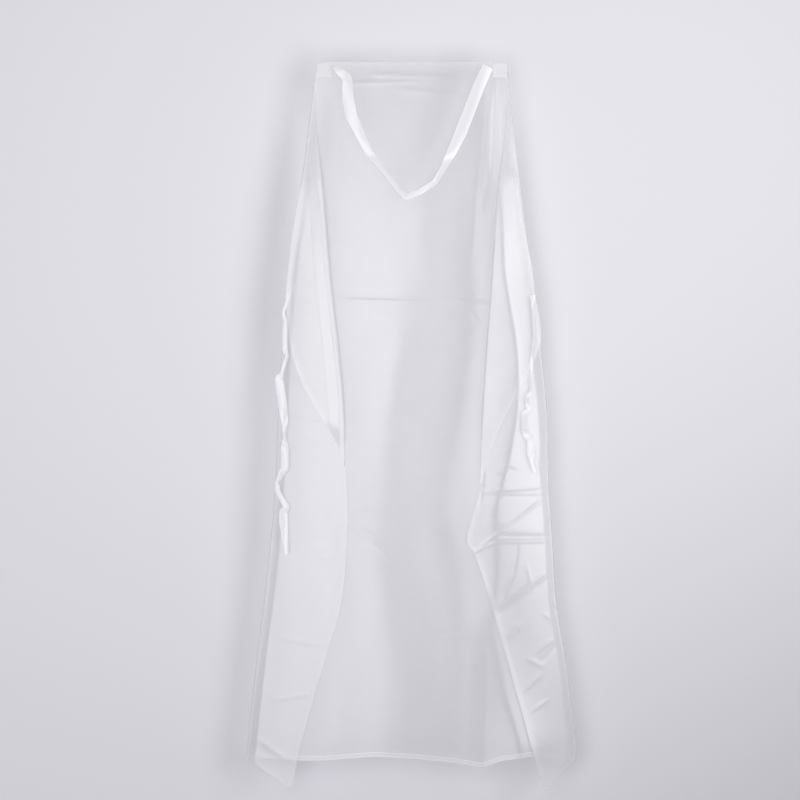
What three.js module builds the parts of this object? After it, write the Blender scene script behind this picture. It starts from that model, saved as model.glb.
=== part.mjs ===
// A film apron, as it hangs from the two top corners of its bib.
// Millimetres, +Z up, the front faces -Y, and the origin is the middle of the bib's top edge.
//
// The apron is one cut of film. Below the bib its two wings are folded forwards along a straight
// line from each top corner to the bottom edge, and the upper part of each wing turns back outwards
// in a second, shorter fold, so a wing has an inner and an outer layer. Every free edge has a hem.
// A neck strap joins the two corners of the bib, and a tie hangs from each waist corner.
import * as THREE from "three";

// Driving dimensions
const bibHalf = 151; // half the bib's width at its top edge
const gripHeight = 25; // the film that a hanger's clips hold flat, down from the top edge
const foldTop = 60; // where the wings come free of the gathered corner
const panelLength = 1097; // top edge to bottom edge
const filmThick = 1; // these solids' thickness, in place of film of about 0.2
const hemWide = 8;
const hemThick = 0.6;
const gap = 0.3; // between pieces that lie on each other
const foldRadius = 4; // of the fold between the panel and a wing
const layerStep = 6; // from a wing's inner layer to its outer one
const strapWide = 16;
const tieWide = 14;

// Each side, with x counted outwards from the middle and t downwards from the top edge.
// fold: the outer fold. crease: the fold between a wing's two layers. armhole and waistEdge: the
// outer layer's free edge. sideEdge: the inner layer's free edge, down to its bottom corner.
const sides = {
  left: {
    dir: -1,
    fold: [[151, 25], [261, 1097]],
    crease: [[150, 31], [144, 174], [129, 348], [111, 515], [105, 637]],
    armhole: [[151, 25], [169, 174], [181, 240], [198, 370]],
    waistEdge: [[198, 370], [188, 460], [166, 523], [138, 568], [105, 637]],
    sideEdge: [[105, 637], [104, 788], [113, 867], [137, 945], [173, 1071], [188, 1140]],
    tie: [
      [-195, -369], [-199, -430], [-197, -465], [-207, -503], [-202, -548], [-200, -600],
      [-201, -637], [-209, -670], [-202, -700], [-196, -745], [-195, -778],
    ],
  },
  right: {
    dir: 1,
    fold: [[153, 25], [260, 1102]],
    crease: [[150, 60], [143, 143], [133, 242], [125, 376], [113, 505], [108, 634]],
    armhole: [[153, 25], [157, 149], [171, 235], [182, 300], [193, 377]],
    waistEdge: [[193, 377], [201, 427], [200, 455], [160, 535], [132, 597], [108, 634]],
    sideEdge: [[108, 634], [80, 694], [80, 721], [94, 757], [117, 835], [181, 1055], [204, 1141]],
    tie: [
      [187, -376], [191, -430], [189, -488], [182, -543], [176, -600], [181, -632], [190, -655],
    ],
  },
};

const strapPath = [
  [-121, -13], [-108, -22], [-101, -48], [-96, -85], [-76, -130], [-46, -176], [-20, -206],
  [0, -214], [22, -206], [48, -176], [72, -126], [97, -72], [110, -34], [121, -13],
];

// Value at t of a smooth curve through [value, t] knots.
function along(knots, t) {
  const last = knots.length - 1;
  let i = 0;
  while (i < last - 1 && t > knots[i + 1][1]) i++;
  const [a, ta] = knots[i];
  const [b, tb] = knots[i + 1];
  const slope = (k) => {
    const from = knots[Math.max(k - 1, 0)];
    const to = knots[Math.min(k + 1, last)];
    return (to[0] - from[0]) / (to[1] - from[1]);
  };
  const q = (t - ta) / (tb - ta);
  const h = tb - ta;
  return (
    (2 * q ** 3 - 3 * q ** 2 + 1) * a +
    (q ** 3 - 2 * q ** 2 + q) * h * slope(i) +
    (3 * q ** 2 - 2 * q ** 3) * b +
    (q ** 3 - q ** 2) * h * slope(i + 1)
  );
}

const clamp = (v) => Math.min(1, Math.max(0, v));
const ease = (v) => clamp(v) ** 2 * (3 - 2 * clamp(v));
const lerp = (a, b, q) => a + (b - a) * q;
const steps = (n) => Array.from({ length: n + 1 }, (_, i) => i / n);

// How far the film hangs forward of a flat sheet: two flutes that deepen towards the bottom.
function flute(x, t) {
  const deep = ease((t - 150) / (panelLength - 150));
  const bump = (middle, half) => Math.exp(-(((x - middle) / half) ** 2));
  return deep * (24 * bump(112, 58) + 9 * bump(-125, 60));
}
const radiusAt = (t) => lerp(1.5, foldRadius, ease((t - foldTop) / 250));

// Depth of the panel, and of a wing's inner and outer layer, at a point.
function panelDepth(x, t) {
  const side = x < 0 ? sides.left : sides.right;
  const share = Math.abs(x) / along(side.fold, Math.max(t, gripHeight));
  return radiusAt(t) * ease(t / 90) * share ** 4 - flute(x, t);
}
const innerDepth = (x, t) => -radiusAt(t) - flute(x, t);
const outerDepth = (x, t) => innerDepth(x, t) - layerStep * ease(t / 180);

// A closed solid from rows of middle points, thickened along the surface's normal.
function slab(rows, thick) {
  const count = rows[0].length;
  const at = (i, j) => rows[i][j];
  const normal = (i, j) => {
    const across = at(i, Math.min(j + 1, count - 1)).clone().sub(at(i, Math.max(j - 1, 0)));
    const down = at(Math.min(i + 1, rows.length - 1), j)
      .clone()
      .sub(at(Math.max(i - 1, 0), j));
    return across.cross(down).normalize();
  };
  const points = [];
  for (const face of [1, -1])
    rows.forEach((row, i) =>
      row.forEach((p, j) =>
        points.push(...p.clone().addScaledVector(normal(i, j), (face * thick) / 2).toArray()),
      ),
    );
  const index = [];
  const id = (face, i, j) => face * rows.length * count + i * count + j;
  const quad = (a, b, c, d) => index.push(a, b, c, a, c, d);
  for (let i = 0; i < rows.length - 1; i++)
    for (let j = 0; j < count - 1; j++) {
      quad(id(0, i, j), id(0, i, j + 1), id(0, i + 1, j + 1), id(0, i + 1, j));
      quad(id(1, i, j), id(1, i + 1, j), id(1, i + 1, j + 1), id(1, i, j + 1));
    }
  for (let j = 0; j < count - 1; j++) {
    const end = rows.length - 1;
    quad(id(0, 0, j), id(1, 0, j), id(1, 0, j + 1), id(0, 0, j + 1));
    quad(id(0, end, j), id(0, end, j + 1), id(1, end, j + 1), id(1, end, j));
  }
  for (let i = 0; i < rows.length - 1; i++) {
    const end = count - 1;
    quad(id(0, i, 0), id(0, i + 1, 0), id(1, i + 1, 0), id(1, i, 0));
    quad(id(0, i, end), id(1, i, end), id(1, i + 1, end), id(0, i + 1, end));
  }
  if (volumeOf(points, index) < 0) index.reverse();
  const geometry = new THREE.BufferGeometry();
  geometry.setAttribute("position", new THREE.Float32BufferAttribute(points, 3));
  geometry.setIndex(index);
  geometry.computeVertexNormals();
  return geometry;
}

function volumeOf(points, index) {
  const corner = (i) => new THREE.Vector3().fromArray(points, 3 * index[i]);
  let sum = 0;
  for (let i = 0; i < index.length; i += 3)
    sum += corner(i).dot(corner(i + 1).cross(corner(i + 2)));
  return sum / 6;
}

const film = new THREE.MeshStandardMaterial({
  color: 0xe9e9f0, roughness: 0.35, metalness: 0, transparent: true, opacity: 0.45,
});
const doubled = new THREE.MeshStandardMaterial({
  color: 0xf0f0f5, roughness: 0.35, metalness: 0, transparent: true, opacity: 0.65,
});
const ribbon = new THREE.MeshStandardMaterial({
  color: 0xf6f6fa, roughness: 0.4, metalness: 0, transparent: true, opacity: 0.8,
});

const apron = new THREE.Group();
function add(name, geometry, material) {
  const mesh = new THREE.Mesh(geometry, material);
  mesh.name = name;
  apron.add(mesh);
}

// A hem: the strip of a film grid that it lies on, moved off the film to one side.
function hem(name, strip, face) {
  const off = face * (filmThick / 2 + gap + hemThick / 2);
  add(name, slab(strip.map((row) => row.map((p) => p.clone().setY(p.y + off))), hemThick), doubled);
}

// The strip with both ends of each row drawn in a little, clear of the next hem.
function drawnIn(strip) {
  return strip.map((row) => {
    const inner = row.slice(1, -1);
    const first = row[0].clone().lerp(row[1], 0.08);
    const last = row.at(-1).clone().lerp(row.at(-2), 0.08);
    return [first, ...inner, last];
  });
}

// Middle points of the panel, whose rows reach to just inside the folds.
function panelGrid() {
  const heights = [
    0, hemWide, gripHeight, 60, 110, 180, 270, 370, 480, 590, 700, 800, 900, 1000,
    panelLength - hemWide, panelLength,
  ];
  return heights.map((t) => {
    const reach = (side) => along(side.fold, Math.max(t, gripHeight)) - 1;
    return steps(22).map((q) => {
      const x = lerp(-reach(sides.left), reach(sides.right), q);
      return new THREE.Vector3(x, panelDepth(x, t), -t);
    });
  });
}

function panel() {
  const grid = panelGrid();
  add("front_panel", slab(grid, filmThick), film);
  hem("top_hem", grid.slice(0, 2), 1);
  hem("bottom_hem", grid.slice(-2), 1);
}

// Shares across a row of the given width, with the last strip as wide as a hem.
function shares(width, columns) {
  const last = 1 - hemWide / width;
  return [...steps(columns).map((q) => q * last), 1];
}

// A wing's inner layer, from the outer fold to the crease and, below that, to the side edge.
function innerGrid(side) {
  const meetT = side.sideEdge[0][1];
  const cornerT = side.sideEdge.at(-1)[1];
  const down = shares(panelLength - foldTop, 15);
  return down.map((s) => {
    const outT = lerp(foldTop, panelLength, s);
    const inT = lerp(foldTop, cornerT, s);
    const outX = along(side.fold, outT) - 1;
    const inX = inT < meetT ? along(side.crease, inT) : along(side.sideEdge, inT);
    return shares(outX - inX, 5).map((q) => {
      const x = side.dir * lerp(outX, inX, q);
      const t = lerp(outT, inT, q);
      return new THREE.Vector3(x, innerDepth(x, t), -t);
    });
  });
}

// A wing's outer layer, from the crease to the armhole and, below the waist, to the waist edge.
function outerGrid(side) {
  const [, waistT] = side.armhole.at(-1);
  const endT = side.waistEdge.at(-1)[1] - 24;
  const heights = [
    ...steps(6).map((s) => lerp(foldTop + 20, waistT, s)),
    ...steps(6).slice(1).map((s) => lerp(waistT, endT, s)),
  ];
  return heights.map((t) => {
    const outX = t <= waistT ? along(side.armhole, t) : along(side.waistEdge, t);
    const inX = along(side.crease, t);
    return shares(outX - inX, 4).map((q) => {
      const x = side.dir * lerp(inX, outX, q);
      return new THREE.Vector3(x, outerDepth(x, t), -t);
    });
  });
}

// The strip along the free edge of the given rows of a wing's layer.
const edgeStrip = (rows) => [-2, -1].map((j) => rows.map((row) => row.at(j)));

function wing(name, side) {
  const inner = innerGrid(side);
  const outer = outerGrid(side);
  add(name + "_wing_inner", slab(inner, filmThick), film);
  add(name + "_wing_outer", slab(outer, filmThick), film);
  const free = inner.filter((row) => -row.at(-1).z > side.sideEdge[0][1]);
  hem(name + "_side_hem", edgeStrip(free), -1);
  hem(name + "_wing_bottom_hem", drawnIn(inner.slice(-2).map((row) => row.slice(0, -1))), -1);
  hem(name + "_armhole_hem", drawnIn(edgeStrip(outer.slice(0, 7))), 1);
  hem(name + "_waist_hem", drawnIn(edgeStrip(outer.slice(6))), 1);
}

// A flat ribbon along a hand-set path of [x, z] points, at the depth that depth(x, t) gives.
function band(path, wide, thick, count, depth) {
  const curve = new THREE.SplineCurve(path.map(([x, z]) => new THREE.Vector2(x, z)));
  const rows = steps(count).map((s) => {
    const p = curve.getPoint(s);
    const along2 = curve.getTangent(s);
    return [-wide / 2, wide / 2].map((w) => {
      const x = p.x - along2.y * w;
      const z = p.y + along2.x * w;
      return new THREE.Vector3(x, depth(p.x, -p.y), z);
    });
  });
  return slab(rows, thick);
}

function straps() {
  const tabSize = 22;
  const tabDepth = -(filmThick / 2 + gap + filmThick / 2);
  for (const [name, { dir }] of Object.entries(sides)) {
    const tab = new THREE.BoxGeometry(tabSize, filmThick, tabSize);
    tab.translate(dir * (bibHalf - 2 - tabSize / 2), tabDepth, -2 - tabSize / 2);
    add(name + "_strap_tab", tab, ribbon);
  }
  add("neck_strap", band(strapPath, strapWide, filmThick, 40, () => -8), ribbon);
}

// The welded end of a tie on its waist corner, and the tie that hangs below it.
function tie(name, side) {
  const [waistX, waistT] = side.armhole.at(-1);
  const middle = waistX - tieWide / 2 - 2;
  const front = outerDepth(side.dir * (middle - tieWide / 2), waistT - 20) - filmThick - gap - 1;
  const tab = new THREE.BoxGeometry(tieWide, filmThick, 16);
  tab.translate(side.dir * middle, front, -waistT + 12);
  add(name + "_tie_tab", tab, ribbon);
  const depth = front - 3;
  add(name + "_tie", band(side.tie, tieWide, filmThick, 24, () => depth), ribbon);
}

panel();
for (const [name, side] of Object.entries(sides)) {
  wing(name, side);
  tie(name, side);
}
straps();

export default apron;
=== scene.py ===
import math

import bpy
import numpy as np
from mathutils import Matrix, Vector


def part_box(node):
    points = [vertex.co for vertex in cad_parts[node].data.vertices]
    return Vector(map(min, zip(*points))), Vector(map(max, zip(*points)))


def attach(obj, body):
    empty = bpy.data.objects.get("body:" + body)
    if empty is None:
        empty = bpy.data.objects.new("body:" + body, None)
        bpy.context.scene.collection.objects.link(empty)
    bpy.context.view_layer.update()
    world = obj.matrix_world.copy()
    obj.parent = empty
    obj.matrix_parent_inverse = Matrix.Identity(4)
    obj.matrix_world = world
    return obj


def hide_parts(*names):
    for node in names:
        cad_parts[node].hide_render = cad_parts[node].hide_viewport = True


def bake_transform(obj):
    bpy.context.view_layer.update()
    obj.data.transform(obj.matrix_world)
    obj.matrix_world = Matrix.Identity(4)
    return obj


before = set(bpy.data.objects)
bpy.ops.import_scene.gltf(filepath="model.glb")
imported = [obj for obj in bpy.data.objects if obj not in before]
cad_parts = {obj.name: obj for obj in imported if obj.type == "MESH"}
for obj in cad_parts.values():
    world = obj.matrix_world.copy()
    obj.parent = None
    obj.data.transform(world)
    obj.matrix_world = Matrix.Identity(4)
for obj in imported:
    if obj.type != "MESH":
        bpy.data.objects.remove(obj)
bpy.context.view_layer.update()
scene = bpy.context.scene

# Lengths in the settings are millimetres: x is counted outwards from the middle, t down from the
# top edge, and depth towards the front is negative. mm turns them into metres.
mm = 0.001
sliver = 0.02 * mm  # points of a row closer than this become one


def through(knots, t):
    # smooth curve through (t, value) knots: a cubic in each span, slopes from the two neighbours
    ts, vs = np.array(knots, float).T
    t = np.clip(t, ts[0], ts[-1])
    i = np.clip(np.searchsorted(ts, t, side="right") - 1, 0, len(ts) - 2)
    lo, hi = np.maximum(np.arange(len(ts)) - 1, 0), np.minimum(np.arange(len(ts)) + 1, len(ts) - 1)
    slope = (vs[hi] - vs[lo]) / (ts[hi] - ts[lo])
    h = ts[i + 1] - ts[i]
    q = (t - ts[i]) / h
    return (
        (2 * q**3 - 3 * q**2 + 1) * vs[i]
        + (q**3 - 2 * q**2 + q) * h * slope[i]
        + (3 * q**2 - 2 * q**3) * vs[i + 1]
        + (q**3 - q**2) * h * slope[i + 1]
    )


def ease(v):
    # 0 below 0, 1 above 1, smooth between
    v = np.clip(v, 0, 1)
    return v * v * (3 - 2 * v)


def bump(v, middle, half):
    # a bell of height 1
    return np.exp(-(((v - middle) / half) ** 2))


def mix(a, b, q):
    # a where q is 0, b where q is 1
    return a + (b - a) * q


def addSheet(name, grid, uv, material):
    # grid is rows x columns x 3 in metres, uv is in metres on the sheet; points of a row that lie
    # almost on each other become one, so a narrowing part closes without slivers
    rows, cols = grid.shape[:2]
    own = np.arange(rows * cols).reshape(rows, cols)
    gaps = np.linalg.norm(np.diff(grid, axis=1), axis=-1) > sliver
    fresh = np.concatenate([np.ones((rows, 1), bool), gaps], axis=1)
    kept, index = np.unique(np.maximum.accumulate(np.where(fresh, own, 0), axis=1),
                            return_inverse=True)
    index = index.reshape(rows, cols)
    quads = np.stack(
        [index[:-1, :-1], index[1:, :-1], index[1:, 1:], index[:-1, 1:]], axis=-1
    ).reshape(-1, 4)
    top, low = quads[:, 0] == quads[:, 3], quads[:, 1] == quads[:, 2]
    faces = quads[~top & ~low].tolist()
    faces += quads[top & ~low][:, [0, 1, 2]].tolist() + quads[low & ~top][:, [0, 1, 3]].tolist()
    mesh = bpy.data.meshes.new(name)
    mesh.from_pydata(grid.reshape(-1, 3)[kept], [], faces)
    layer = mesh.uv_layers.new(name="UVMap")
    corners = np.zeros(len(mesh.loops), np.int32)
    mesh.loops.foreach_get("vertex_index", corners)
    layer.data.foreach_set("uv", uv.reshape(-1, 2)[kept][corners].astype(np.float32).ravel())
    mesh.shade_smooth()
    mesh.update()
    obj = bpy.data.objects.new(name, mesh)
    scene.collection.objects.link(obj)
    mesh.materials.append(material)
    return obj, kept


def normalsOf(grid):
    # cross product of the steps down and across
    down = np.gradient(grid, axis=0)
    across = np.gradient(grid, axis=1)
    n = np.cross(down, across)
    return n / np.maximum(np.linalg.norm(n, axis=-1, keepdims=True), 1e-12)


def areaOf(grid):
    # half the cross product of each cell's diagonals
    a = grid[1:, 1:] - grid[:-1, :-1]
    b = grid[1:, :-1] - grid[:-1, 1:]
    return float(np.linalg.norm(np.cross(a, b), axis=-1).sum() / 2)


def sheetUv(grid):
    # distance along each row and down the sheet, in metres
    across = np.linalg.norm(np.diff(grid, axis=1), axis=-1)
    down = np.linalg.norm(np.diff(grid, axis=0), axis=-1).mean(axis=1)
    u = np.concatenate([np.zeros((len(grid), 1)), np.cumsum(across, axis=1)], axis=1)
    v = np.concatenate([[0], np.cumsum(down)])[:, None] + np.zeros_like(u)
    return np.stack([u, v], axis=-1)


# Materials


class Val:
    # a socket's value, on which Python's operators add Math nodes

    def __init__(self, tree, socket):
        self.tree, self.socket = tree, socket

    def math(self, operation, *values):
        node = self.tree.nodes.new("ShaderNodeMath")
        node.operation = operation
        for socket, value in zip(node.inputs, values):
            if isinstance(value, Val):
                self.tree.links.new(value.socket, socket)
            else:
                socket.default_value = value
        return Val(self.tree, node.outputs[0])

    def __add__(self, other):
        return self.math("ADD", self, other)

    def __sub__(self, other):
        return self.math("SUBTRACT", self, other)

    def __rsub__(self, other):
        return self.math("SUBTRACT", other, self)

    def __mul__(self, other):
        return self.math("MULTIPLY", self, other)

    __radd__, __rmul__ = __add__, __mul__

    def clamp(self):
        return self.math("MINIMUM", self.math("MAXIMUM", self, 0.0), 1.0)


class Material:
    def __init__(self, name):
        self.material = bpy.data.materials.new(name)
        self.material.use_nodes = True
        self.tree = self.material.node_tree
        self.tree.nodes.clear()

    def node(self, kind, settings=None, output=0, **inputs):
        # settings come first, then the values or links of the sockets, by name
        node = self.tree.nodes.new("ShaderNode" + kind)
        for key, value in (settings or {}).items():
            setattr(node, key, value)
        for key, value in inputs.items():
            socket = node.inputs[key.replace("_", " ")]
            if isinstance(value, Val):
                self.tree.links.new(value.socket, socket)
            else:
                socket.default_value = value
        return Val(self.tree, node.outputs[output])

    def coordinates(self, scale=(1, 1, 1)):
        # object coordinates, in metres
        return self.node("Mapping", Vector=self.node("TexCoord", output=3), Scale=scale)

    def math(self, operation, *values):
        return values[0].math(operation, *values)

    def mixShaders(self, factor, first, second):
        # the node's two shader sockets share a name, so they are filled in order
        node = self.tree.nodes.new("ShaderNodeMixShader")
        for socket, value in zip(node.inputs, (factor, first, second)):
            if isinstance(value, Val):
                self.tree.links.new(value.socket, socket)
            else:
                socket.default_value = value
        return Val(self.tree, node.outputs[0])

    def finish(self, shader):
        out = self.tree.nodes.new("ShaderNodeOutputMaterial")
        self.tree.links.new(shader.socket, out.inputs["Surface"])
        return self.material


clouding = 0.06  # how far the film's opacity varies
weldLine = 0.8  # where a hem's weld lines run, from its middle to its side


def filmMaterial(name, look):
    # frosted clear film: part see-through, faintly clouded, softly glossy and finely crinkled
    m = Material(name)
    place = m.coordinates()
    cloud = m.node("TexNoise", Vector=place, Scale=14.0, Detail=3.0, Roughness=0.55)
    tall = m.coordinates((1, 1, 0.4))
    waves = m.node("TexNoise", Vector=tall, Scale=look["waves"], Detail=4.0, Roughness=0.6)
    fine = m.node("TexNoise", Vector=place, Scale=900.0, Detail=2.0)
    height = waves + fine * 0.03
    see = (look["alpha"] - clouding / 2) + cloud * clouding
    if look.get("hem"):  # a weld line along each side of the band, where the film is thicker
        across = m.node("Attribute", {"attribute_name": "across"}, output=2)
        middle = across * 2.0 - 1.0
        edge = m.math("ABSOLUTE", middle)
        line = (1.0 - m.math("ABSOLUTE", edge - weldLine) * 5.0).clamp()
        see = see + line * look["hem"]
        height = height + line * 0.2
    if look.get("weld"):  # the welding bar's small squares
        squares = m.node("TexChecker", output=1, Vector=place, Scale=look["weld"])
        height = height + squares * 0.5
    normal = m.node("Bump", Strength=look["crinkle"], Distance=0.002, Height=height)
    surface = m.node(
        "BsdfPrincipled",
        Base_Color=(*look["color"], 1),
        Roughness=(look["roughness"] - 0.05) + cloud * 0.1,
        Normal=normal,
        IOR=look["ior"],
    )
    glow = m.node("BsdfTranslucent", Color=(*look["color"], 1), Normal=normal)
    haze = m.mixShaders(look["through"], surface, glow)
    clear = m.node("BsdfTransparent")
    return m.finish(m.mixShaders(see, clear, haze))


looks = {
    "filmClear": {"alpha": 0.37, "color": (0.87, 0.87, 0.89), "roughness": 0.21, "waves": 34.0,
                  "crinkle": 0.10, "ior": 2.1, "through": 0.4},
    "filmHem": {"alpha": 0.07, "color": (0.98, 0.98, 1.0), "roughness": 0.3, "waves": 60.0,
                "crinkle": 0.12, "ior": 1.6, "through": 0.05, "hem": 0.13},
    "filmFoot": {"alpha": 0.33, "color": (0.96, 0.96, 0.98), "roughness": 0.28, "waves": 60.0,
                 "crinkle": 0.12, "ior": 1.7, "through": 0.1, "hem": 0.25},
    "filmRibbon": {"alpha": 0.62, "color": (0.98, 0.98, 1.0), "roughness": 0.26, "waves": 60.0,
                   "crinkle": 0.15, "ior": 1.7, "through": 0.15},
    "filmWeld": {"alpha": 0.4, "color": (0.96, 0.96, 0.98), "roughness": 0.33, "waves": 60.0,
                 "crinkle": 0.2, "ior": 1.6, "through": 0.2, "weld": 700.0},
}
film, hemFilm, footFilm, ribbonFilm, weldFilm = [filmMaterial(*item) for item in looks.items()]
print("materials made")

# The film: one cut, hung from its top corners, with a wing folded to the front on each side

apron = {
    "length": 1091,
    "hem": 7.5,
    "cell": 1.9,
    "radius": 2.4,  # of the fold between the panel and a wing
    "strip": 14,  # of the panel's layer that the wing's own sheet starts with
    "taper": 28,  # over which a side hem grows to its width, below the crease
    "gap": 3.5,  # between a wing's outer layer and the panel's folds, without the step
    "proud": 0.4,  # of a hem's band in front of the film
    "bottom": [(-261, 1091), (-176, 1095), (-140, 1095), (-58, 1088), (5, 1091), (70, 1098),
               (110, 1105), (140, 1094), (187, 1087), (256, 1097)],  # its edge, t along x
}

wings = {
    "left": {
        "dir": -1,
        "fold": [(0, 151), (25, 153), (190, 174), (364, 198), (562, 211), (664, 215), (798, 227),
                 (955, 246), (1091, 261)],
        "crease": [(16, 151), (100, 150), (168, 144), (234, 138), (342, 129), (509, 111),
                   (634, 105)],
        "armhole": [(16, 151), (86, 157), (168, 168), (234, 180.5), (280, 188), (364, 198)],
        "side": [(364, 198), (454, 188), (516, 166), (562, 138), (634, 105), (782, 103.5),
                 (860, 113), (939, 136.5), (1064, 172.5), (1135, 188)],
        "meet": 634,
        "step": 6.0,  # from the inner layer to the outer one, at the crease
        "rise": (6, 22, 22.0),  # the outer layer's slope between two distances off the crease
        "fall": (40, 0.4),  # and its return, over a distance before the free edge
    },
    "right": {
        "dir": 1,
        "fold": [(0, 151), (20, 151), (200, 172), (399, 197), (441, 202), (562, 213), (656, 215),
                 (750, 221), (845, 227), (939, 242), (1033, 254), (1072, 258), (1097, 256)],
        "crease": [(16, 151), (90, 148), (137, 143), (235, 133.5), (305, 129), (369, 125),
                   (530, 113), (668, 106)],
        "armhole": [(16, 151), (143, 157), (179, 165), (229, 171), (294, 182), (325, 188),
                    (374, 194)],
        "side": [(374, 194), (415, 201), (441, 201), (482, 185), (529, 160), (593, 130),
                 (672, 108), (738, 88), (756, 88), (770, 98), (856, 126), (1049, 180.5),
                 (1135, 204)],
        "meet": 664,
        "step": 6.0,
        "rise": (2, 20, 0.0),
        "fall": (32, 0.5),
    },
}

# The film's hanging folds, as lines down it: x along t, the turn of the slope in degrees where
# the line is crossed (positive for a ridge), how it grows with t, and the rounding's half width
drape = {
    "start": 9.0,  # slope by the left fold, coming forward to the right
    "grow": [(0, 0), (60, 0.1), (250, 0.85), (450, 1.0), (1110, 1.0)],
    "lines": [
        {"at": [(0, -140), (300, -166), (700, -182), (1100, -220)], "half": 26,
         "turn": [(0, 6.0), (1100, 6.0)]},
        {"at": [(0, 0), (250, 10), (330, 20), (420, 0), (500, -25), (600, -38), (800, -38),
                (900, -15), (1100, -10)], "half": 20,
         "turn": [(0, 6.0), (400, 8.6), (850, 8.6), (1100, 5.4)]},
        {"at": [(0, 84), (250, 90), (420, 92), (500, 78), (600, 60), (700, 52), (800, 70),
                (900, 78), (1100, 80)], "half": 18,
         "turn": [(0, -9.5), (400, -11.6), (850, -11.6), (1100, -9.2)]},
    ],
    "corner": [  # a soft ridge and a hard valley beside it, above the bottom hem's low point
        {"at": [(0, 96), (1100, 92)], "half": 8, "turn": [(0, 7.0), (1100, 7.0)]},
        {"at": [(0, 116), (880, 116), (1100, 111)], "half": 2.2,
         "turn": [(0, -7.0), (1100, -7.0)]},
    ],
    "cornerFrom": (860, 980),
    # slope back to the right side fold along t, and the height of the rounding it starts with
    "descent": [(0, 16), (330, 17), (480, 17), (620, 12), (720, 7.3), (900, 6.4), (1000, 9),
                (1100, 16)],
    "round": 1.4,
    "kick": (850, 250, 3.5),  # the foot comes forward: from t, over, by
}

# Creases left by packing and by the hand: x, t of both ends, height (forwards) and half width.
# The panel's use x to the right of the middle; a wing's are on its inner layer.
panelCreases = [
    (-107, 369, 60, 374, -1.0, 1.9), (40, 373, 122, 378, 0.9, 2.2),
    (-104, 724, -62, 742, 0.5, 3.5), (-98, 738, -52, 762, 0.45, 4.0),
    (-60, 752, -28, 790, 0.3, 5.0),
    (-100, 700, -70, 702, 0.35, 3.0), (-30, 700, -5, 716, 0.3, 4.0), (40, 905, 92, 900, 0.3, 4.0),
    (-60, 20, 60, 24, 0.5, 4.0), (-100, 34, 20, 30, 0.4, 3.5), (-20, 44, 80, 52, 0.35, 4.5),
    (-118, 40, -112, 210, 0.25, 4.5), (128, 40, 108, 230, 0.7, 5.0), (116, 60, 96, 300, -0.35, 6.0),
    (123, 30, 118, 210, 0.8, 3.6), (131, 30, 127, 180, -0.6, 3.2), (138, 36, 134, 190, 0.7, 3.4),
    (90, 390, 104, 410, 0.35, 4.0), (-70, 330, -40, 350, 0.3, 4.0), (-62, 392, -30, 400, 0.3, 4.0),
]
wingCreases = {
    "left": [
        (190, 560, 130, 566, 0.25, 3.5), (185, 730, 120, 752, 0.3, 4.0),
        (170, 780, 118, 774, 0.3, 4.0), (200, 905, 130, 915, 0.3, 4.5),
        (215, 1000, 160, 990, 0.25, 4.0), (240, 1062, 200, 1090, 0.35, 5.0),
        (176, 700, 150, 706, 0.3, 3.5),
    ],
    "right": [
        (108, 674, 206, 667, 0.72, 2.4), (116, 681, 208, 682, -0.5, 2.2),
        (205, 686, 136, 737, 0.72, 2.2), (194, 690, 146, 730, -0.44, 2.2),
        (138, 736, 104, 762, 0.61, 2.4), (138, 735, 214, 739, 0.72, 2.0),
        (140, 744, 212, 745, -0.55, 2.8), (130, 753, 214, 752, 0.83, 2.0),
        (94, 770, 133, 752, 0.72, 2.0), (116, 716, 150, 726, 0.44, 3.0),
        (128, 858, 211, 802, 0.66, 2.4), (135, 866, 214, 811, -0.44, 2.4),
        (166, 758, 158, 806, -0.6, 3.0), (158, 806, 140, 846, -0.5, 3.0),
        (186, 600, 200, 650, 0.6, 3.6), (140, 628, 166, 638, 0.6, 3.0),
        (180, 790, 190, 830, 0.5, 3.6), (222, 905, 196, 925, 0.6, 3.0),
        (226, 915, 204, 940, -0.5, 3.0), (170, 880, 150, 905, 0.5, 4.0),
        (206, 865, 228, 880, 0.5, 3.6), (200, 960, 176, 985, 0.4, 4.0),
        (118, 640, 150, 655, 0.6, 3.0), (112, 640, 106, 690, 0.5, 3.0),
        (212, 1000, 188, 1016, 0.4, 3.4), (180, 935, 206, 948, 0.4, 3.6),
    ],
}


def foldAt(side, t):
    # x of the side fold, counted outwards
    return through(side["fold"], t)


def creaseRelief(x, t, lines):
    # each crease is a bell across its line that fades out at the line's ends
    out = np.zeros(np.broadcast(x, t).shape)
    for xa, ta, xb, tb, height, half in lines:
        dx, dt = xb - xa, tb - ta
        length = math.hypot(dx, dt)
        along = ((x - xa) * dx + (t - ta) * dt) / length
        off = ((x - xa) * dt - (t - ta) * dx) / length
        fade = 10 + 0.2 * length
        ends = ease(along / fade + 0.4) * ease((length - along) / fade + 0.4)
        out += height * bump(off, 0, half) * ends
    return out


def bend(x, lines, t):
    # lines of slope change: zero before each and rising at the turn's slope after it, rounded
    out = 0.0
    for line in lines:
        u = x - through(line["at"], t)
        turn = np.radians(through(line["turn"], t))
        out = out + np.tan(turn) * (u + np.sqrt(u * u + line["half"] ** 2)) / 2
    return out


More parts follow.
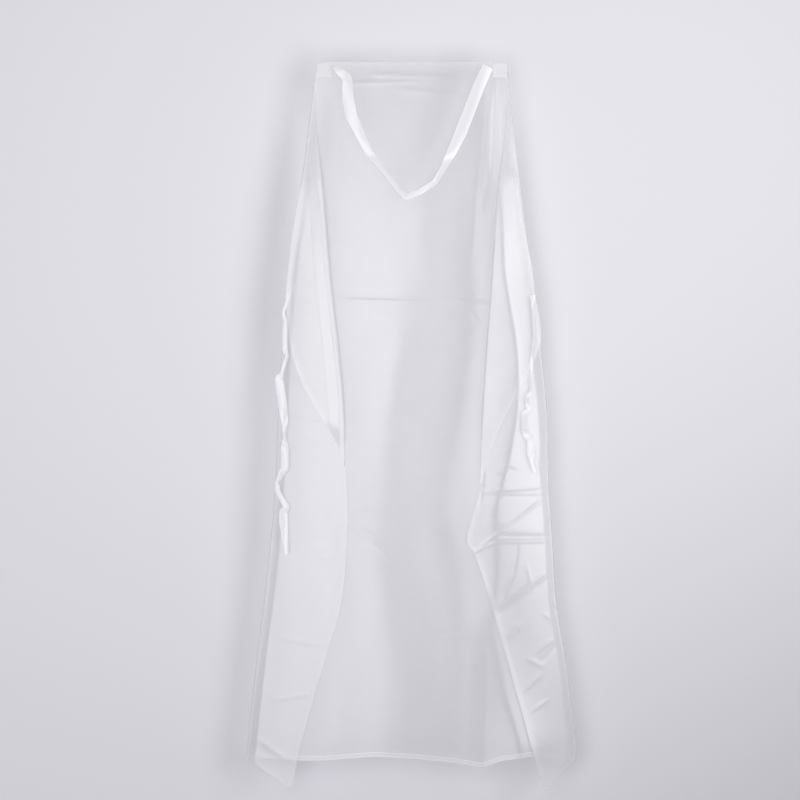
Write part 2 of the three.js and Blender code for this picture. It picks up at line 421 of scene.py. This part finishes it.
def flute(x, t):
    # forward distance of the hanging folds, which ends at the right side fold; x is signed
    left, right = -foldAt(wings["left"], t), foldAt(wings["right"], t)
    first, last = drape["cornerFrom"]
    rising = (x - left) * math.tan(math.radians(drape["start"])) - bend(x, drape["lines"], t)
    rising = rising - bend(x, drape["corner"], t) * ease((t - first) / (last - first))
    falling = (right - x) * np.tan(np.radians(through(drape["descent"], t)))
    low = (rising + falling - np.sqrt((rising - falling) ** 2 + drape["round"] ** 2)) / 2
    first, over, by = drape["kick"]
    low = low + by * np.clip((t - first) / over, 0, None) ** 2
    grown = through(drape["grow"], np.clip(t, 0, 1110))
    return np.clip(low * grown, -2, None) * ease((x - left) / 20 + 0.2)


def ripples(x, t):
    # the film's slight unevenness: slow crossed waves of about half a millimetre
    a = np.sin(x / 19 + 0.9 * np.sin(t / 83) + t / 300)
    b = np.sin(x / 31 - t / 140 + 1.3 * np.sin(t / 210))
    c = np.sin(t / 37 + x / 44 + np.sin(x / 27))
    return 0.35 * a * b + 0.18 * c


def foldRadius(t):
    # narrow at the top corner, where the clips hold the film flat
    return mix(1.0, apron["radius"], ease((t - 20) / 110))


def panelDepth(x, t):
    # the hanging folds, ripples and creases, eased back into the round of the side folds; x signed
    reach = np.where(x < 0, foldAt(wings["left"], t), foldAt(wings["right"], t))
    share = np.clip(np.abs(x) / reach, 0, 1)
    calm = ease((1 - share) / 0.12)
    back = foldRadius(t) * ease(t / 60) * share**4
    return back - flute(x, t) - calm * (ripples(x, t) + creaseRelief(x, t, panelCreases))


def innerDepth(word, x, t):
    # x signed; the layer comes forward over the first 16 mm from the fold
    side = wings[word]
    off = foldAt(side, t) - np.abs(x)
    own = ripples(x + 57, t) + creaseRelief(np.abs(x), t, wingCreases[word])
    ahead = (0.5 + 3.0 * ease(t / 300)) * ease(off / 16) + own * ease(off / 10)
    return -foldRadius(t) - flute(x, t) - ahead


def panelGrid():
    # rows follow the bottom edge more and more; columns run between the two seams
    h, cell, length = apron["hem"], apron["cell"], apron["length"]
    t = np.concatenate([np.linspace(0, h, 4)[:-1], np.linspace(h, length - h, int(length / cell)),
                        np.linspace(length - h, length, 4)[1:]])[:, None]
    low = -foldAt(wings["left"], t) + apron["strip"]
    high = foldAt(wings["right"], t) - apron["strip"]
    x = mix(low, high, np.linspace(0, 1, 150)[None, :])
    drop = np.interp(x, *np.array(apron["bottom"], float).T) - length
    tt = t + drop * ease((t - 850) / 241)
    return np.stack([x, panelDepth(x, tt), -tt], axis=-1) * mm


def wingGrid(word):
    # each row: the strip behind, round the fold, the inner layer, round the crease, the outer
    # layer and its hem; below the crease the last parts lie flat at the inner layer's edge
    side, h, cell = wings[word], apron["hem"], apron["cell"]
    d, waistT, endT, meet = side["dir"], side["armhole"][-1][0], side["side"][-1][0], side["meet"]
    t = np.concatenate([np.arange(16, waistT, cell), np.arange(waistT, endT - h, cell),
                        np.linspace(endT - h, endT, 4)])[:, None]
    tFold = t - (endT - side["fold"][-1][0]) * ease((t - 700) / (endT - 700))
    r = foldRadius(t)
    xFold = foldAt(side, tFold)
    edge = np.where(t < waistT, through(side["armhole"], t), through(side["side"], t))
    above = t < meet
    sideHem = h * (0.2 + 0.8 * ease((t - meet) / apron["taper"]))
    crease = np.where(above, through(side["crease"], t), edge + sideHem)
    outer = np.where(above, np.maximum(edge - crease, 0.02), 0.02)
    band = np.where(above, np.minimum(h, outer * 0.5), -sideHem)
    lift = side["step"] * ease(outer / 30) * ease(t / 180)
    cols = [np.linspace(0, 1, n)[None, :-1] for n in (7, 13, 66, 9)]
    backQ, turn, innerQ, roundQ = cols[0], cols[1] * math.pi, cols[2], cols[3] * math.pi
    outerQ, hemQ = np.linspace(0, 1, 32)[None, :-1], np.linspace(0, 1, 4)[None, :]
    xb = mix(xFold - apron["strip"], xFold - r, backQ)
    xr = xFold - r + r * np.sin(turn)
    start = xFold - r
    yr = mix(panelDepth(d * start, tFold), innerDepth(word, d * start, tFold),
             (1 - np.cos(turn)) / 2)
    xi = mix(start, crease, innerQ)
    ti = mix(tFold, t, innerQ)
    yi = innerDepth(word, d * xi, ti)
    xc = crease - lift / 2 * np.sin(roundQ)
    yc = innerDepth(word, d * crease, t) - lift * (1 - np.cos(roundQ)) / 2
    low, high, rise = side["rise"]
    # pairs of columns keep both ends of the rise crisp
    marks = np.array([[low - 0.3, low + 0.3, high - 0.3, high + 0.3]])
    marks = np.clip(marks / np.maximum(outer - band, 1), 0.003, 0.997)
    outerQ = np.sort(np.concatenate([outerQ + 0 * t, marks], axis=1), axis=1)
    xo = np.concatenate([mix(crease, edge - band, outerQ), mix(edge - band, edge, hemQ)], axis=1)
    off = xo - crease
    reach, fall = side["fall"]
    ramps = [(u + np.sqrt(u * u + 0.05)) / 2 for u in (off - low, off - high)]
    more = math.tan(math.radians(rise)) * (ramps[0] - ramps[1])
    more = more - fall * ease(1 - (outer - off) / reach)
    more = more * ease(t / 200) * ease(outer / 40)
    own = -r - flute(d * xo, t) - apron["gap"] - 0.7 * ripples(xo + 130, t)
    yo = mix(innerDepth(word, d * xo, t), own, ease(outer / 30)) - lift - more
    parts = [(xb, panelDepth(d * xb, tFold), tFold), (xr, yr, tFold), (xi, yi, ti), (xc, yc, t),
             (xo, yo, t)]
    x, y, tt = [np.concatenate([part[i] + 0 * part[0] for part in parts], axis=1)
                for i in range(3)]
    return np.stack([d * x, y, -tt], axis=-1) * mm, t[:, 0]


def hemOf(name, grid, rows, cols, across, node, bodies, material):
    # a band on the film: the film's own points moved a little off it
    part = (grid + normalsOf(grid) * apron["proud"] * mm)[rows][:, cols]
    obj, kept = addSheet(name, part, sheetUv(part), material)
    steps = np.linspace(0, 1, part.shape[across])
    field = (steps[:, None] if across == 0 else steps[None, :]) + np.zeros(part.shape[:2])
    attribute = obj.data.attributes.new("across", "FLOAT", "POINT")
    attribute.data.foreach_set("value", field.astype(np.float32).ravel()[kept])
    if len(bodies) == 2:
        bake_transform(obj)
    else:
        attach(obj, bodies[0])
    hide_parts(node)
    areaOf(part)


panel = panelGrid()
panelFilm, _ = addSheet("panelFilm", panel, sheetUv(panel), film)
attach(panelFilm, "bib")
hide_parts("front_panel")
areaOf(panel)
hemOf("topHem", panel, slice(0, 4), slice(None), 0, "top_hem", ["bib"], hemFilm)
hemOf("bottomHem", panel, slice(-4, None), slice(None), 0, "bottom_hem", ["bib"], footFilm)

for word, side in wings.items():
    grid, t = wingGrid(word)
    bodies = ["bib", word + "_wing"]
    sheet, _ = addSheet(word + "WingFilm", grid, sheetUv(grid), film)
    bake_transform(sheet)
    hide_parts(word + "_wing_inner", word + "_wing_outer")
    areaOf(grid)
    waist = int(np.searchsorted(t, side["armhole"][-1][0]))
    meet = int(np.searchsorted(t, side["meet"]))
    ends = [("Armhole", "_armhole_hem", 2, waist + 1), ("Waist", "_waist_hem", waist, meet - 2),
            ("Side", "_side_hem", meet, len(t))]
    for kind, node, first, last in ends:
        rows = slice(first, last)
        look = footFilm if (word, kind) == ("right", "Side") else hemFilm
        hemOf(word + kind + "Hem", grid, rows, slice(-4, None), 1, word + node, bodies, look)
    node = word + "_wing_bottom_hem"
    hemOf(word + "BottomHem", grid, slice(-4, None), slice(0, -3), 0, node, bodies, hemFilm)
    print(word, "wing", grid.shape, round(areaOf(grid), 3))
print("film made")

# Neck strap and ties: flat doubled ribbons along x, t points, with a depth and a turn in degrees

ribbons = {  # path: x, t, the turn about the length and the width left by lengthwise folds
    "neck": {
        "wide": 18.5, "depth": -11, "body": "neck_loop", "node": "neck_strap",
        "path": [(-121, 8, 30, 10), (-112, 17, -6, 13), (-101, 27, 5, 15), (-100, 60, -6, 18.5),
                 (-95, 86, -6, 18.5), (-79, 119, 2, 14), (-66, 146, -8, 12), (-60, 152, 20, 11),
                 (-42, 174, 24, 10), (-22, 201, 24, 10), (-9, 213, 6, 10), (12, 205, -4, 9),
                 (36, 190, -30, 9), (50, 166, -40, 12), (62, 143, -8, 15), (77, 111, -5, 18.5),
                 (91, 75, -6, 18.5), (104, 41, -7, 18.5), (119, 8, -10, 17)],
    },
    "leftTie": {
        "wide": 14, "depth": -17, "body": "left_tie", "node": "left_tie",
        "path": [(-192, 361, 0, 8), (-196, 377, -4, 5), (-201, 394, 30, 5), (-198, 408, -4, 6),
                 (-199, 419, -4, 9), (-199, 452, -6, 9), (-195, 462, 40, 6), (-204, 491, 25, 6),
                 (-208, 497, -4, 14), (-202, 540, -6, 14), (-199, 565, 10, 10),
                 (-199, 587, 50, 6), (-199, 606, -3, 12), (-199, 637, -5, 12),
                 (-211, 659, 35, 6), (-210, 673, -5, 8), (-196, 699, -3, 10),
                 (-201, 705, 12, 13), (-201, 721, 8, 13), (-195.5, 772, 25, 7)],
    },
    "rightTie": {
        "wide": 14, "depth": -19, "body": "right_tie", "node": "right_tie",
        "path": [(188, 366, 0, 9), (190, 390, 40, 6), (191, 430, 50, 6), (188, 462, 40, 6),
                 (185, 487, -30, 6), (184, 516, -45, 8), (180, 531, 55, 9), (181, 545, -8, 6),
                 (176, 553, 30, 12), (176, 578, 35, 12), (185, 595, -9, 12), (185, 612, -10, 12),
                 (187, 625, 20, 8), (192, 645, 0, 5)],
    },
}


def ribbonGrid(r):
    # a slightly cupped band along a path with soft bends, turned about it by the given angle
    p = np.array(r["path"], float)
    at = np.concatenate([[0], np.cumsum(np.hypot(*np.diff(p[:, :2], axis=0).T))])
    s = np.linspace(0, at[-1], int(at[-1] / 1.5))
    soft = np.linspace(-2.5, 2.5, 7)[:, None]
    x, t, turn, wide = [np.interp(s + soft, at, p[:, i]).mean(axis=0) for i in range(4)]
    path = np.stack([x, r["depth"] + 0 * x, -t], axis=1)
    tangent = np.gradient(path, axis=0)
    tangent /= np.linalg.norm(tangent, axis=1, keepdims=True)
    side = np.cross(tangent, [0.0, -1.0, 0.0])
    side /= np.linalg.norm(side, axis=1, keepdims=True)
    lift = np.cross(side, tangent)
    a = np.radians(turn)[:, None]
    width = (side * np.cos(a) + lift * np.sin(a))[:, None, :]
    q = np.linspace(-0.5, 0.5, 11)[None, :, None]
    cup = (1 - (2 * q) ** 2) * 0.6
    normal = np.cross(width[:, 0], tangent)[:, None, :]
    return (path[:, None, :] + width * q * wide[:, None, None] + normal * cup) * mm


for word, r in ribbons.items():
    grid = ribbonGrid(r)
    obj, _ = addSheet(word + "Ribbon", grid, sheetUv(grid), ribbonFilm)
    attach(obj, r["body"])
    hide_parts(r["node"])
    areaOf(grid)

# Welded ends: small doubled patches on the bib's top corners and on the waist corners

patches = {
    "leftStrapPatch": {"node": "left_strap_tab", "body": "bib"},
    "rightStrapPatch": {"node": "right_strap_tab", "body": "bib"},
    "leftTiePatch": {"node": "left_tie_tab", "body": "left_wing"},
    "rightTiePatch": {"node": "right_tie_tab", "body": "right_wing"},
}


def patchGrid(node):
    # a slightly cushioned rectangle over the node's front face
    lo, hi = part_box(node)
    u, v = np.meshgrid(np.linspace(0, 1, 15), np.linspace(1, 0, 15))
    crown = 0.0004 * (1 - (2 * u - 1) ** 4) * (1 - (2 * v - 1) ** 4)
    return np.stack([mix(lo[0], hi[0], u), lo[1] - crown, mix(lo[2], hi[2], v)], axis=-1)


for word, spec in patches.items():
    grid = patchGrid(spec["node"])
    obj, _ = addSheet(word, grid, sheetUv(grid), weldFilm)
    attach(obj, spec["body"])
    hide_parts(spec["node"])
    float(np.linalg.norm(grid[0, -1] - grid[0, 0]))
    float(np.linalg.norm(grid[-1, 0] - grid[0, 0]))
print("ribbons and patches made")

# Studio: a pale wall close behind that is only there from its front, a plain floor well below, soft
# lights and the camera

studio = {
    "wallBehind": 0.068,
    "wallTop": 1.6,
    "halfWidth": 2.6,
    "floorDepth": 2.1,
    "paint": (0.80, 0.792, 0.835),
    "floorHeight": -1.75,
    "room": (0.175, 0.175, 0.183),
    "camera": (-0.0188, -3.49, -0.5307),
    "key": {"place": (1.12, -1.72, -0.3), "aim": (-0.95, 0, 1.9), "size": (0.8, 1.7),
            "power": 27.3},
    "fill": {"place": (-0.72, -2.74, -0.44), "aim": (-1.51, 0, 0.95), "size": (1.3, 2.0),
             "power": 41.5},
}


def paint(name, seenFromBehind):
    # matt paint with a faint grain; the wall's back lets everything through
    m = Material(name)
    grain = m.node("TexNoise", Vector=m.coordinates(), Scale=60.0, Detail=2.0)
    shader = m.node("BsdfPrincipled", Base_Color=(*studio["paint"], 1), Roughness=0.6 + grain * 0.1,
                    Specular_IOR_Level=0.1)
    if not seenFromBehind:
        behind = m.node("NewGeometry", output=6)
        shader = m.mixShaders(behind, shader, m.node("BsdfTransparent"))
    return m.finish(shader)


def studioRoom():
    z, y, w, top, far = [studio[key] for key in
                         ("floorHeight", "wallBehind", "halfWidth", "wallTop", "floorDepth")]
    wallPaint, floorPaint = paint("wallPaint", False), paint("floorPaint", True)
    planes = {
        "studioWall": ([[(-w, y, top), (w, y, top)], [(-w, y, z), (w, y, z)]], wallPaint),
        "studioFloor": ([[(-w, y, z), (w, y, z)], [(-w, -far, z), (w, -far, z)]], floorPaint),
        "studioFloorBehind": ([[(-w, far, z), (w, far, z)], [(-w, y, z), (w, y, z)]], floorPaint),
    }
    for name, (corners, material) in planes.items():
        plane = np.array(corners)
        addSheet(name, plane, sheetUv(plane), material)[0]


def softLight(name, place, aim, size, power):
    data = bpy.data.lights.new(name, "AREA")
    data.shape, data.size, data.size_y = "RECTANGLE", size[0], size[1]
    data.energy = power
    light = bpy.data.objects.new(name, data)
    scene.collection.objects.link(light)
    light.location = place
    light.rotation_euler = (Vector(aim) - Vector(place)).to_track_quat("-Z", "Y").to_euler()


studioRoom()
world = bpy.data.worlds.new("paleRoom")
scene.world = world
world.use_nodes = True
world.node_tree.nodes["Background"].inputs["Color"].default_value = (*studio["room"], 1)
softLight("keyLight", **studio["key"])
softLight("fillLight", **studio["fill"])

camera = bpy.data.cameras.new("camera")
cameraObject = bpy.data.objects.new("camera", camera)
scene.collection.objects.link(cameraObject)
camera.lens, camera.sensor_width = 100, 36
cameraObject.location = studio["camera"]
cameraObject.rotation_euler = (math.radians(90), 0, 0)
scene.camera = cameraObject
scene.view_settings.view_transform = "Standard"
